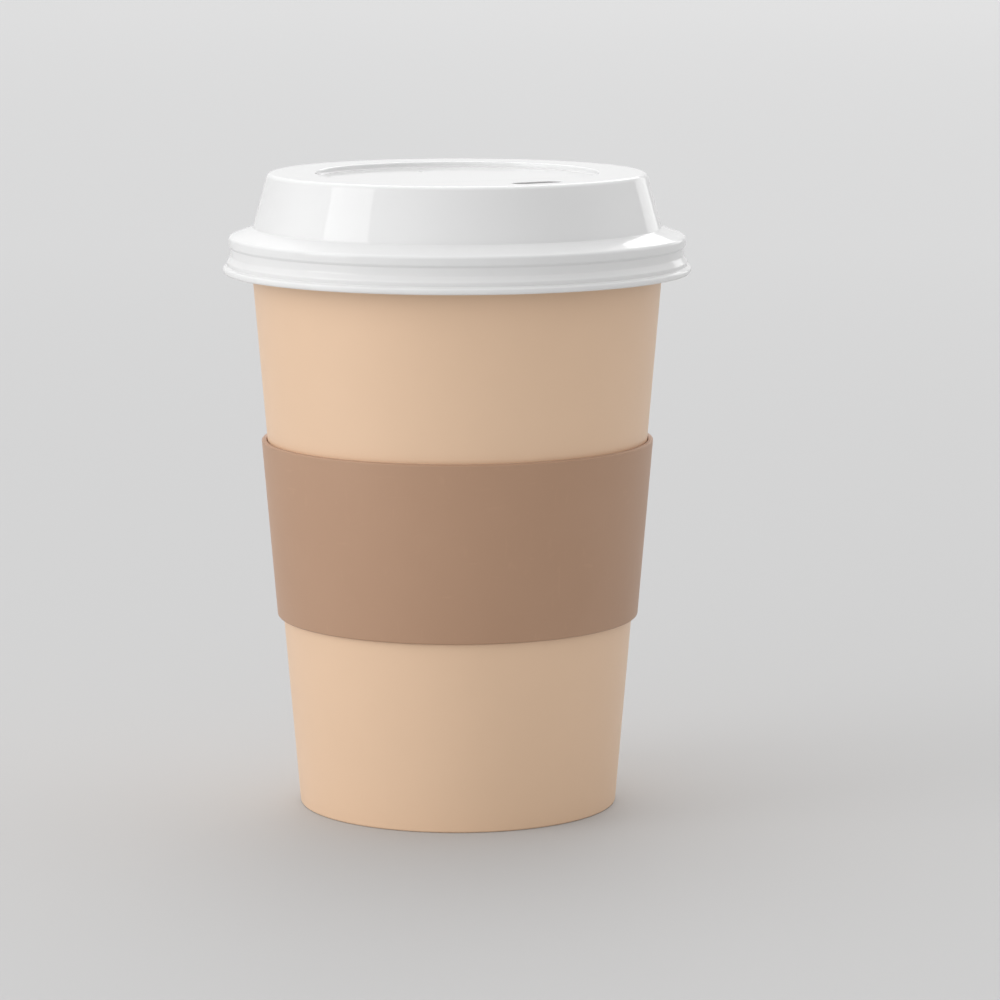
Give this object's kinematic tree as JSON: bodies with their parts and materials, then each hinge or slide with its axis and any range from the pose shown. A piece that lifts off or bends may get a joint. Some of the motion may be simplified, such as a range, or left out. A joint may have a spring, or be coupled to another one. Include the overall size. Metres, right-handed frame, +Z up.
{
  "type": "paper coffee cup",
  "caption": "Tapered paper coffee cup with a rolled rim, a recessed base, a card sleeve round its middle and a domed sip lid that clips over the rim.",
  "frame": {"origin": "centre of the foot, on the surface that the cup stands on", "axes": "+Z up along the cup's axis, the drinking slot towards -Y and a little +X, the seams at +Y"},
  "size_m": [0.0928, 0.0928, 0.1267],
  "materials": {
    "cup_paper": "satin coated paper, peach beige",
    "base_paper": "uncoated white paperboard",
    "sleeve_card": "matte brown card",
    "lid_plastic": "glossy white formed sheet"
  },
  "bodies": {
    "cup": {"cup_wall": "cup_paper", "cup_base": "base_paper"},
    "sleeve": {"sleeve": "sleeve_card"},
    "lid": {"lid": "lid_plastic"}
  },
  "joints": [
    {"name": "lid_lift", "type": "slide", "parent": "cup", "child": "lid", "axis": [0, 0, 1], "range_m": [0, 0.05]},
    {"name": "sleeve_slide", "type": "slide", "parent": "cup", "child": "sleeve", "axis": [0, 0, -1], "range_m": [0, 0.038]}
  ]
}
